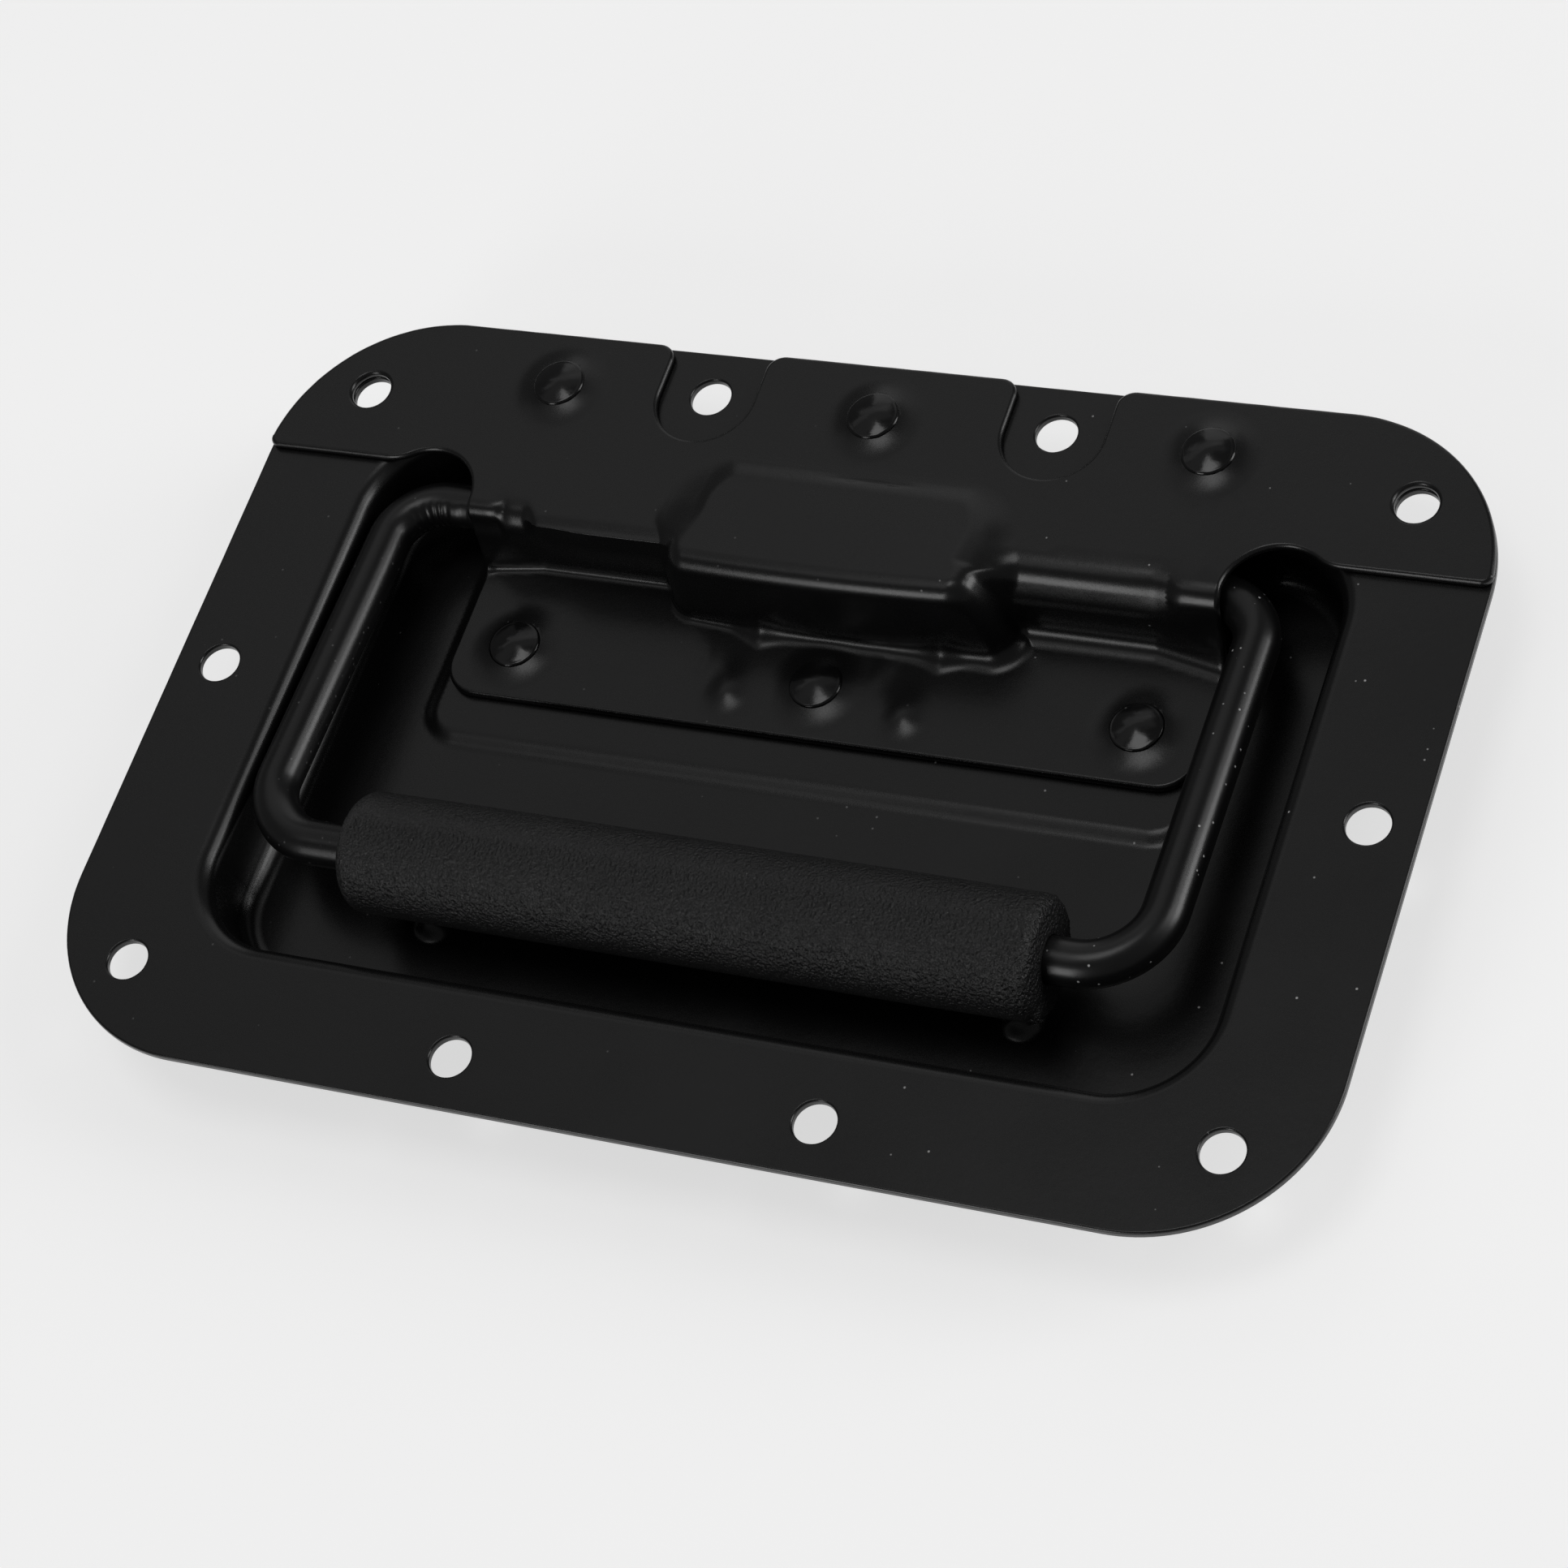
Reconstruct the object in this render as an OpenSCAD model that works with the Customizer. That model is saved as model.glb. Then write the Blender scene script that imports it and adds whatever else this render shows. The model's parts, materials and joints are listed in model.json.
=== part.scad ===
// Recessed pull handle: a pressed dish with a flange, a riveted hinge cover,
// a sprung bail with a grip sleeve.
// X runs along the grip, Y towards the hinge, Z out of the flange's face.
// The origin is under the middle of the plate, on the plane of the dish's back.

/* [Plate] */
// Width of the flange
plate_w = 173.2; // [170:0.2:180]
// Height of the flange
plate_h = 114.6; // [113:0.2:120]
// Corner radius of the flange
plate_r = 23.4; // [18:0.2:26]
// Thickness of the pressed sheet, dish and cover alike
sheet = 1.2; // [1:0.1:1.3]

/* [Recess] */
// Inside width of the recess
recess_w = 137.4; // [137:0.2:139]
// Inside height of the recess
recess_h = 79; // [78:0.2:80]
// Corner radius of the recess, seen from above
recess_r = 12; // [9:0.5:13]
// Depth of the recess, from the flange's face to the floor
depth = 12.3; // [12:0.1:13]
// Radius of the bend between the flange and the wall, on the seen side
rim_r = 2.5; // [1.6:0.1:2.8]
// Radius of the fillet between the wall and the floor
floor_r = 2.5; // [1.5:0.1:2.8]

/* [Platform and bumps] */
// Width of the raised platform in the floor
platform_w = 106; // [104:1:108]
// Front edge of the platform
platform_y0 = 0.9; // [0:0.1:1.5]
// Rear edge of the platform
platform_y1 = 34.2; // [33:0.1:34.4]
// Height of the platform above the floor
platform_rise = 0.8; // [0.5:0.1:1]
// Corner radius of the platform
platform_r = 4; // [3:0.5:6]
// Width of the soft step around the platform
step_w = 2; // [1:0.1:2.2]
// Sideways place of each rest bump
bump_x = 41.1; // [35:0.1:45]
// Place of the rest bumps along Y
bump_y = -27.7; // [-30:0.1:-25]
// Radius of a rest bump at the floor
bump_r = 3; // [2.8:0.1:3.5]
// Height of a rest bump above the floor
bump_h = 2.15; // [1.8:0.05:2.2]

/* [Screw holes] */
// Diameter of the screw holes
hole_d = 5.6; // [4.5:0.1:6]
// Spacing of the corner holes along X
corner_dx = 149; // [146:0.5:150]
// Spacing of the corner holes along Y
corner_dy = 89.8; // [88:0.2:90]
// Spacing of the intermediate holes along X
mid_dx = 49.6; // [49:0.1:50]
// Spacing of the intermediate holes along Y
mid_dy = 100.6; // [100:0.1:101]
// Spacing of the two side holes along X
side_dx = 160; // [158:0.5:162]

/* [Hinge cover] */
// Lower edge of the cover's two wings
wing_y = 34.4; // [34.3:0.1:35]
// Half width of the cover's bent front
front_hw = 53.2; // [52:0.1:53.3]
// Place of the front wall's outer face
wall_y = 26; // [25:0.1:26.2]
// Outer radius of the upper bend
top_bend = 2.2; // [1.6:0.1:2.6]
// Radius of the hollow bend at the wall's foot
foot_bend = 1.5; // [1:0.1:2]
// Front edge of the foot flange
foot_y = 6.3; // [5:0.1:8]
// Radius of the foot flange's front corners
foot_r = 5; // [3:0.5:7]
// Radius of the arched cut-outs over the bail's legs
arch_r = 7.2; // [7:0.1:7.4]
// Radius of the notches that clear the intermediate screws
notch_r = 6.9; // [6:0.1:7.5]

/* [Spring box] */
// Front of the box that holds the springs
box_y = 21.3; // [21:0.1:21.6]
// Highest point of the box above the flange's face
box_top = 4; // [3.6:0.1:4.4]
// Half width of the box at its foot
box_hw = 24.9; // [24:0.1:25.5]
// Radius of the box's upright corners
box_r = 4; // [3:0.5:5]

/* [Rivets] */
// Diameter of a rivet's head
rivet_head_d = 7.2; // [6.5:0.1:7.6]
// Height of a rivet's head
rivet_head_h = 1.05; // [0.8:0.05:1.2]
// Diameter of a rivet's shank
rivet_d = 4; // [3.5:0.1:4.4]
// Height of the pressed boss under each rivet
boss_h = 0.7; // [0.6:0.05:0.8]
// Sideways place of the outer flange rivets
flange_rivet_x = 46.4; // [45:0.1:48]
// Place of the flange rivets along Y
flange_rivet_y = 48.7; // [48.5:0.1:49.5]
// Sideways place of the outer floor rivets
floor_rivet_x = 44.3; // [43:0.1:45]
// Place of the floor rivets along Y
floor_rivet_y = 14.2; // [13.5:0.1:14.4]

/* [Bail] */
// Diameter of the bail's rod
rod_d = 6; // [5.6:0.1:6.2]
// Distance between the centre lines of the two legs
leg_dx = 123.6; // [122:0.2:123.6]
// Sideways play taken up: the bail lies this far to the left
bail_shift = 3.5; // [3:0.1:3.5]
// Length of the legs between centre lines
leg_l = 54.7; // [54:0.1:55]
// Centre-line radius of the bends at the hinge
hinge_bend = 7; // [6:0.5:7]
// Centre-line radius of the bends at the grip
grip_bend = 9; // [8:0.5:9]
// Place of the hinge's axis along Y
pivot_y = 31.3; // [31.2:0.1:31.4]
// Height of the hinge's axis, below the flange's face
pivot_z = -4.1; // [-4.4:0.1:-4]
// Tilt at which the bail rests, in degrees
rest_tilt = 2.4; // [2.4:0.1:3]
// Gap between the rod's two ends
end_gap = 3; // [2:0.5:4]

/* [Grip] */
// Diameter of the grip sleeve
grip_d = 16; // [15:0.1:16]
// Length of the grip sleeve
grip_l = 95.6; // [90:0.2:96]
// How far the sleeve's middle lies to the left of the plate's middle
grip_shift = 1.5; // [1:0.1:2]
// Rounding of the sleeve's end edges
grip_edge = 1; // [0.4:0.1:2]

/* [Springs] */
// Diameter of the spring wire
wire_d = 1.4; // [1.2:0.1:1.5]
// Mean radius of the coils
coil_r = 3.95; // [3.9:0.05:4.1]
// Spacing of the coils
pitch = 1.7; // [1.7:0.05:1.9]
// Number of whole turns
turns = 4; // [3:1:4]

/* [Hidden] */
$fn = 96;

total = depth + sheet;                          // back plane to the flange's face
floor_z = -depth;
platform_z = floor_z + platform_rise;
foot_z = platform_z + sheet;                    // top of the cover's foot flange
platform_h = platform_y1 - platform_y0;
platform_cy = (platform_y0 + platform_y1) / 2;
boss_top_r = 4;
boss_base_r = 5.9;
rivet_gap = 0.03;
tang_x = 5.9;                                   // spring tang from the bail's middle
rod_r = rod_d / 2;
half_dx = leg_dx / 2;
arch_x = front_hw + arch_r;
arch_y = 29.3;
lip_r = 2.5;                                    // rounding of the notch's lips
notch_x = 24.9;
notch_y = 49.4;
black = [0.05, 0.05, 0.055];

// everything is drawn with z = 0 on the flange's face and raised to its place here
module raised() translate([0, 0, total]) children();

// rectangle with round corners
module rrect(w, h, r) {
    square([w - 2 * r, h], center = true);
    square([w, h - 2 * r], center = true);
    for (x = [-1, 1], y = [-1, 1]) translate([x * (w / 2 - r), y * (h / 2 - r)]) circle(r);
}

// a 2D section carried around a rounded rectangle: its x points outwards, its y up
module around(w, h, r) {
    for (k = [0 : 3]) rotate([0, 0, 90 * k]) {
        a = k % 2 == 0 ? w / 2 : h / 2;
        b = k % 2 == 0 ? h / 2 : w / 2;
        translate([a, b - r, 0]) rotate([90, 0, 0]) linear_extrude(2 * (b - r)) children();
        translate([a - r, b - r, 0]) rotate_extrude(angle = 90) translate([r, 0]) children();
    }
}

// quarter of a bent sheet: hollow centre at the origin, in the quadrant (sx, sy)
module bend(r_in, t, sx, sy) intersection() {
    difference() {
        circle(r_in + t);
        circle(r_in);
    }
    translate([sx > 0 ? 0 : -r_in - t, sy > 0 ? 0 : -r_in - t]) square(r_in + t);
}

// section of the recess wall: rim bend, wall, floor fillet; x = 0 is the inner face
module wall_section() {
    translate([rim_r, -rim_r]) bend(rim_r - sheet, sheet, -1, 1);
    translate([0, floor_z + floor_r]) square([sheet, depth - floor_r - rim_r]);
    translate([-floor_r, floor_z + floor_r]) bend(floor_r, sheet, 1, -1);
}

// section of the soft step around the platform; x = 0 is the platform's edge
module step_section() polygon([
    [0, platform_z], [0, platform_z - sheet],
    [step_w, floor_z - sheet], [step_w, floor_z]
]);

// pressed boss under a rivet: flat top, sloping side, standing on z = 0
module boss() rotate_extrude() polygon([
    [0, -0.01], [boss_base_r, -0.01], [boss_base_r, 0], [boss_top_r, boss_h], [0, boss_h]
]);

module flange_rivet_places() for (x = [-flange_rivet_x, 0, flange_rivet_x])
    translate([x, flange_rivet_y, 0]) children();

module floor_rivet_places() for (x = [-floor_rivet_x, 0, floor_rivet_x])
    translate([x, floor_rivet_y, 0]) children();

// the ten screw places: two rectangles and one line
module screw_places() {
    for (x = [-1, 1], y = [-1, 1]) {
        translate([x * corner_dx / 2, y * corner_dy / 2, 0]) children();
        translate([x * mid_dx / 2, y * mid_dy / 2, 0]) children();
    }
    for (x = [-1, 1]) translate([x * side_dx / 2, 0, 0]) children();
}

bump_R = (bump_r * bump_r + bump_h * bump_h) / (2 * bump_h);

module dish() color(black) raised() difference() {
    union() {
        // flange
        translate([0, 0, -sheet]) linear_extrude(sheet) difference() {
            rrect(plate_w, plate_h, plate_r);
            rrect(recess_w + 2 * rim_r, recess_h + 2 * rim_r, recess_r + rim_r);
        }
        // wall with both bends
        around(recess_w, recess_h, recess_r) wall_section();
        // floor around the platform
        translate([0, 0, floor_z - sheet]) linear_extrude(sheet) difference() {
            rrect(recess_w - 2 * floor_r, recess_h - 2 * floor_r, recess_r - floor_r);
            translate([0, platform_cy])
                rrect(platform_w + 2 * step_w, platform_h + 2 * step_w, platform_r + step_w);
        }
        // raised platform and its soft step
        translate([0, platform_cy, 0]) {
            around(platform_w, platform_h, platform_r) step_section();
            translate([0, 0, platform_z - sheet]) linear_extrude(sheet)
                rrect(platform_w, platform_h, platform_r);
        }
        // rest bumps
        for (x = [-1, 1]) translate([x * bump_x, bump_y, floor_z + bump_h - bump_R]) intersection() {
            sphere(bump_R);
            translate([0, 0, bump_R - bump_h - 0.1]) cylinder(r = bump_r + 1, h = bump_h + 1);
        }
        flange_rivet_places() boss();
        floor_rivet_places() translate([0, 0, platform_z]) boss();
    }
    // hollows behind the bumps and the bosses
    for (x = [-1, 1]) translate([x * bump_x, bump_y, floor_z + bump_h - bump_R]) sphere(bump_R - sheet);
    flange_rivet_places() {
        translate([0, 0, -sheet]) boss();
        translate([0, 0, -5]) cylinder(d = rivet_d + 2 * rivet_gap, h = 10);
    }
    floor_rivet_places() translate([0, 0, platform_z]) {
        translate([0, 0, -sheet]) boss();
        translate([0, 0, -5]) cylinder(d = rivet_d + 2 * rivet_gap, h = 10);
    }
    screw_places() translate([0, 0, -5]) cylinder(d = hole_d, h = 10);
}

// outline of the cover's flat top
module cover_outline() difference() {
    union() {
        intersection() {
            rrect(plate_w, plate_h, plate_r);
            translate([-100, wing_y]) square([200, 60]);
        }
        translate([-arch_x, arch_y]) square([2 * arch_x, wing_y - arch_y + 3]);
        translate([-front_hw, wall_y + top_bend]) square([2 * front_hw, 8]);
    }
    for (s = [-1, 1]) {
        // arched cut-outs over the legs, running out softly into the wings' edges
        translate([s * arch_x, arch_y]) circle(arch_r);
        mirror([s > 0 ? 0 : 1, 0]) arch_run_out();
        // notches
        translate([s * notch_x, notch_y]) {
            circle(notch_r);
            translate([-notch_r, 0]) square([2 * notch_r, 20]);
            for (k = [-1, 1]) difference() {
                translate([k * (notch_r + lip_r / 2), plate_h / 2 - notch_y])
                    square([lip_r + 0.02, 2 * lip_r], center = true);
                translate([k * (notch_r + lip_r), plate_h / 2 - notch_y - lip_r]) circle(lip_r);
            }
        }
    }
}

// the round-over from the arch into the wing's straight edge
run_r = 7;
run_h = wing_y + run_r - arch_y;
centres = arch_r + run_r - 0.02;                // a hair closer than touching, so that they cross
run_x = sqrt(centres * centres - run_h * run_h);
touch = arch_r / (arch_r + run_r);              // where the two curves meet, between their centres
module arch_run_out() difference() {
    translate([arch_x + run_x * touch - 0.5, wing_y - 1])
        square([run_x * (1 - touch) + 0.5, arch_y + run_h * touch - wing_y + 1]);
    translate([arch_x + run_x, wing_y + run_r]) circle(run_r);
}

// section of the cover's front: upper bend, wall, foot bend, foot flange; x is Y, y is Z
module front_section() {
    translate([wall_y + top_bend, sheet - top_bend]) bend(top_bend - sheet, sheet, -1, 1);
    translate([wall_y, foot_z + foot_bend]) square([sheet, sheet - top_bend - foot_z - foot_bend]);
    translate([wall_y - foot_bend, foot_z + foot_bend]) bend(foot_bend, sheet, 1, -1);
}

// the spring box's solid; t = 0 outside, t = sheet inside
box_rear = 39.2;
module box_solid(t, low) intersection() {
    // seen from the side
    rotate([90, 0, 90]) linear_extrude(80, center = true) polygon([
        [box_y + t, low], [box_y + t, box_top - 1.9 - 0.45 * t],
        [box_y + 2.1 + 0.4 * t, box_top - 1.02 * t], [36 - 0.3 * t, box_top - 1.2 - t],
        [box_rear - 0.5 * t, sheet - t], [box_rear - 0.5 * t, low]
    ]);
    // seen from above
    translate([0, (box_y + t + box_rear) / 2, -20]) linear_extrude(40)
        rrect(2 * (box_hw - t), box_rear - box_y - t, box_r - t / 2);
    // seen from the front
    rotate([90, 0, 0]) linear_extrude(100, center = true) polygon([
        [-box_hw + t, low], [-box_hw + 1.8 + t, sheet], [-box_hw + 4 + 0.8 * t, box_top - t],
        [box_hw - 4 - 0.8 * t, box_top - t], [box_hw - 1.8 - t, sheet], [box_hw - t, low]
    ]);
}

// the box as it stands on the cover: behind the front wall only its roof is there
module box_outside() difference() {
    box_solid(0, platform_z);
    translate([-60, wall_y + sheet, platform_z - 1]) cube([120, 30, 1 - platform_z]);
}

module hinge_cover() color(black) raised() difference() {
    union() {
        linear_extrude(sheet) cover_outline();
        rotate([90, 0, 90]) linear_extrude(2 * front_hw, center = true) front_section();
        // foot flange
        translate([0, 0, platform_z]) linear_extrude(sheet) {
            translate([-front_hw, foot_y + foot_r])
                square([2 * front_hw, wall_y - foot_bend - foot_y - foot_r]);
            translate([-front_hw + foot_r, foot_y]) square([2 * (front_hw - foot_r), foot_r]);
            for (x = [-1, 1]) translate([x * (front_hw - foot_r), foot_y + foot_r]) circle(foot_r);
        }
        box_outside();
        flange_rivet_places() translate([0, 0, sheet]) boss();
        floor_rivet_places() translate([0, 0, foot_z]) boss();
    }
    box_solid(sheet, platform_z - 1);
    flange_rivet_places() {
        boss();
        translate([0, 0, -5]) cylinder(d = rivet_d + 2 * rivet_gap, h = 10);
    }
    floor_rivet_places() translate([0, 0, platform_z]) {
        boss();
        translate([0, 0, -5]) cylinder(d = rivet_d + 2 * rivet_gap, h = 10);
    }
    for (x = [-1, 1]) translate([x * corner_dx / 2, corner_dy / 2, -5]) cylinder(d = hole_d, h = 10);
}

// a rivet through both sheets; z = 0 is the upper face of the boss
head_R = ((rivet_head_d / 2) * (rivet_head_d / 2) + (rivet_head_h - 0.35) * (rivet_head_h - 0.35))
    / (2 * (rivet_head_h - 0.35));
module rivet() {
    // head: crisp rim under a low dome
    cylinder(d = rivet_head_d, h = 0.35);
    intersection() {
        translate([0, 0, rivet_head_h - head_R]) sphere(head_R);
        translate([0, 0, 0.35]) cylinder(d = rivet_head_d, h = 2);
    }
    translate([0, 0, -2 * sheet - 0.3]) cylinder(d = rivet_d, h = 2 * sheet + 0.4);
    // formed tail, in the hollow behind the boss
    translate([0, 0, -2 * sheet - 0.6]) cylinder(d = rivet_d + 2, h = 0.6);
}

module flange_rivets() color(black) raised()
    flange_rivet_places() translate([0, 0, sheet + boss_h]) rivet();

module floor_rivets() color(black) raised()
    floor_rivet_places() translate([0, 0, foot_z + boss_h]) rivet();

// the bail's own frame: origin on the hinge's axis between the legs
module bail_frame() raised() translate([-bail_shift, pivot_y, pivot_z]) children();

module rod_along_x(x0, x1, y) translate([x0, y, 0]) rotate([0, 90, 0]) cylinder(d = rod_d, h = x1 - x0);

module half_bail() {
    tip = end_gap / 2;
    // chamfered inner end
    translate([tip, 0, 0]) rotate([0, 90, 0]) cylinder(r1 = rod_r - 0.5, r2 = rod_r, h = 0.5);
    rod_along_x(tip + 0.5, half_dx - hinge_bend, 0);
    translate([half_dx - hinge_bend, -hinge_bend, 0]) rotate_extrude(angle = 90)
        translate([hinge_bend, 0]) circle(rod_r);
    translate([half_dx, -hinge_bend, 0]) rotate([90, 0, 0])
        cylinder(d = rod_d, h = leg_l - hinge_bend - grip_bend);
    translate([half_dx - grip_bend, grip_bend - leg_l, 0]) rotate([0, 0, -90]) rotate_extrude(angle = 90)
        translate([grip_bend, 0]) circle(rod_r);
    rod_along_x(0, half_dx - grip_bend, -leg_l);
}

module bail() color([0.03, 0.03, 0.035]) bail_frame() difference() {
    rotate([-rest_tilt, 0, 0]) {
        half_bail();
        mirror([1, 0, 0]) half_bail();
    }
    // cross holes for the springs' tangs
    for (x = [-tang_x, tang_x]) translate([x, 0, 0]) rotate([90, 0, 0])
        cylinder(d = wire_d + 0.4, h = 12, center = true);
}

module grip() color([0.09, 0.09, 0.09]) bail_frame() rotate([-rest_tilt, 0, 0])
    translate([bail_shift - grip_shift - grip_l / 2, -leg_l, 0]) rotate([0, 90, 0]) rotate_extrude() difference() {
        union() {
            translate([0, grip_edge]) square([grip_d / 2, grip_l - 2 * grip_edge]);
            square([grip_d / 2 - grip_edge, grip_l]);
            for (y = [grip_edge, grip_l - grip_edge]) translate([grip_d / 2 - grip_edge, y]) circle(grip_edge);
        }
        translate([-20, -1]) square([20 + rod_r + 0.02, grip_l + 2]);
    }

// one spring, wound outwards from its tang; the axis is X, angles count from +Y through +Z
wire_sides = 10;
coil_step = 22.5;
coil_end = 360 * (turns - 1) + 235;             // the resting leg leaves the coil here
tang_bend = 1.1;
tang_path = concat(
    [[0, -2.4, 0], [0, 0.5, 0], [0, coil_r - tang_bend, 0]],
    [for (a = [25, 50, 75]) [0, coil_r - tang_bend * (1 - sin(a)), tang_bend * (1 - cos(a))]]
);
function on_coil(a) = [pitch * a / 360, coil_r * cos(a), coil_r * sin(a)];
function coil_way(a) = let (v = [pitch / 6.2832, -coil_r * sin(a), coil_r * cos(a)]) v / norm(v);
coil_path = [for (a = [coil_step : coil_step : coil_end]) on_coil(a)];
leg_drop = (pivot_z + on_coil(coil_end).z - platform_z - wire_d / 2 - 0.1) / -coil_way(coil_end).z;
leg_path = [for (d = [0, 0.5, 1]) on_coil(coil_end) + coil_way(coil_end) * leg_drop * d];
wire_path = concat(tang_path, coil_path, leg_path);
wire_n = len(wire_path);
function wire_way(i) = let (v = wire_path[min(i + 1, wire_n - 1)] - wire_path[max(i - 1, 0)]) v / norm(v);
function wire_ring(i) = let (
    t = wire_way(i), n = [1, 0, 0] - t * t.x, n1 = n / norm(n), n2 = cross(t, n1)
) [for (k = [0 : wire_sides - 1]) wire_path[i]
    + (n1 * cos(360 * k / wire_sides) + n2 * sin(360 * k / wire_sides)) * wire_d / 2];
module spring() polyhedron(
    points = [for (i = [0 : wire_n - 1]) each wire_ring(i)],
    faces = concat(
        [[for (k = [0 : wire_sides - 1]) k]],
        [for (i = [0 : wire_n - 2], k = [0 : wire_sides - 1]) let (j = (k + 1) % wire_sides)
            [i * wire_sides + k, (i + 1) * wire_sides + k, (i + 1) * wire_sides + j, i * wire_sides + j]],
        [[for (k = [wire_sides - 1 : -1 : 0]) (wire_n - 1) * wire_sides + k]]
    ),
    convexity = 10
);

module spring_right() color([0.55, 0.55, 0.56]) bail_frame() translate([tang_x, 0, 0]) spring();

module spring_left() color([0.55, 0.55, 0.56]) bail_frame() mirror([1, 0, 0]) translate([tang_x, 0, 0]) spring();

dish();
hinge_cover();
bail();
grip();
flange_rivets();
floor_rivets();
spring_left();
spring_right();
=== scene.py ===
import json
import math

import bpy
import numpy as np
from mathutils import Matrix, Vector, noise
from mathutils.geometry import delaunay_2d_cdt

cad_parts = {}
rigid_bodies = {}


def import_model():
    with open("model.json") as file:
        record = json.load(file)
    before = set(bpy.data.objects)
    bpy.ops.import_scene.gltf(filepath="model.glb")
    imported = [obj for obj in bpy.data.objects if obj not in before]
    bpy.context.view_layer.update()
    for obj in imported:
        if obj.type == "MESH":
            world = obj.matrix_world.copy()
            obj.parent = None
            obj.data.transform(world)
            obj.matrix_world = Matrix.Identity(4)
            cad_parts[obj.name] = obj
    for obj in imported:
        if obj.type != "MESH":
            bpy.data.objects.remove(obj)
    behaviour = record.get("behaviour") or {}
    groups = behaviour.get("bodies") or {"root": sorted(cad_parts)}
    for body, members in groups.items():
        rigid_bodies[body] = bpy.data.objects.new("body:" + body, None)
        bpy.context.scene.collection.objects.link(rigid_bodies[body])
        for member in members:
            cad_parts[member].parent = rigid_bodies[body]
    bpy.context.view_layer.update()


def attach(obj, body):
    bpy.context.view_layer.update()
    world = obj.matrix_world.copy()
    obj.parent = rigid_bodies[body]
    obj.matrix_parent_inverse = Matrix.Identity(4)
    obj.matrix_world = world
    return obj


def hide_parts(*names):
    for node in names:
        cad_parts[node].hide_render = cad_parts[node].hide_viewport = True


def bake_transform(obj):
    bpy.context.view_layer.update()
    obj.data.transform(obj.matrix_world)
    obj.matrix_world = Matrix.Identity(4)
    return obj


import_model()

# ---------------------------------------------------------------------------
# Everything is worked out in millimetres with z = 0 on the flange's face (the
# "plate frame"), and goes into the scene in metres, raised by the dish's depth.
# ---------------------------------------------------------------------------
RAISE = 13.5
SHEET = 1.2
FLOOR_Z = -12.3
PLATFORM_Z = -11.5
FOOT_Z = -10.3
PLATE = (173.2, 114.6, 23.4)
RECESS = (137.4, 79.0, 12.0)
HOLE_R = 2.8
SCREWS = [(sx * 74.5, sy * 44.9) for sx in (-1, 1) for sy in (-1, 1)]
SCREWS += [(sx * 24.8, sy * 50.3) for sx in (-1, 1) for sy in (-1, 1)]
SCREWS += [(-80.0, 0.0), (80.0, 0.0)]
FLANGE_RIVETS = [(-46.4, 48.7), (0.0, 48.7), (46.4, 48.7)]
FLOOR_RIVETS = [(-44.3, 14.2), (0.0, 14.2), (44.3, 14.2)]
RIVET_HOLE = 2.03


def unit(v):
    return v / np.maximum(np.linalg.norm(v, axis=-1, keepdims=True), 1e-12)


def smooth(t, a, b):
    t = np.clip((np.asarray(t, float) - a) / (b - a), 0, 1)
    return t * t * (3 - 2 * t)


def bell(t, width):
    return np.exp(-((np.asarray(t, float) / width) ** 2))


def wobble(p, scale, seed=0.0):
    """Smooth noise from -1 to 1 at points p in millimetres."""
    return np.array([noise.noise(Vector((q[0] / scale + seed, q[1] / scale, q[2] / scale))) for q in p])


# ---------------------------------------------------------------------------
# Meshes
# ---------------------------------------------------------------------------
def make(name, verts, faces, normals=None, material=None, smooth_angle=None):
    """A mesh object from plate-frame millimetres, with the given smooth normals."""
    co = np.asarray(verts, float) + (0, 0, RAISE)
    mesh = bpy.data.meshes.new(name)
    mesh.from_pydata((co * 0.001).tolist(), [], [list(map(int, f)) for f in faces])
    mesh.validate()
    mesh.polygons.foreach_set("use_smooth", [True] * len(mesh.polygons))
    if smooth_angle is not None:
        mesh.set_sharp_from_angle(angle=math.radians(smooth_angle))
    mesh.update()
    if normals is not None and len(mesh.vertices) == len(co):
        mesh.normals_split_custom_set_from_vertices(unit(np.asarray(normals, float)).tolist())
    ob = bpy.data.objects.new(name, mesh)
    bpy.context.scene.collection.objects.link(ob)
    if material:
        mesh.materials.append(material)
    return ob


def inside(points, loop):
    """Which 2D points lie inside a closed loop."""
    x, y = points[:, 0], points[:, 1]
    found = np.zeros(len(points), bool)
    a, b = loop, np.roll(loop, -1, 0)
    for (x0, y0), (x1, y1) in zip(a, b):
        if y0 == y1:
            continue
        cross = ((y0 > y) != (y1 > y)) & (x < (x1 - x0) * (y - y0) / (y1 - y0) + x0)
        found ^= cross
    return found


def near(points, loop, gap):
    """Which 2D points are closer to the loop than gap."""
    found = np.zeros(len(points), bool)
    for a, b in zip(loop, np.roll(loop, -1, 0)):
        d = b - a
        t = np.clip(((points - a) @ d) / max(d @ d, 1e-12), 0, 1)
        q = points - (a + t[:, None] * d)
        found |= (q * q).sum(1) < gap * gap
    return found


def lattice(x0, x1, y0, y1, h):
    """Staggered points, h apart."""
    rows = []
    k = 0
    y = y0
    while y <= y1:
        xs = np.arange(x0 + (h / 2 if k % 2 else 0), x1, h)
        rows.append(np.stack([xs, np.full(len(xs), y)], 1))
        y += h * 0.866
        k += 1
    return np.concatenate(rows)


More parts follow.
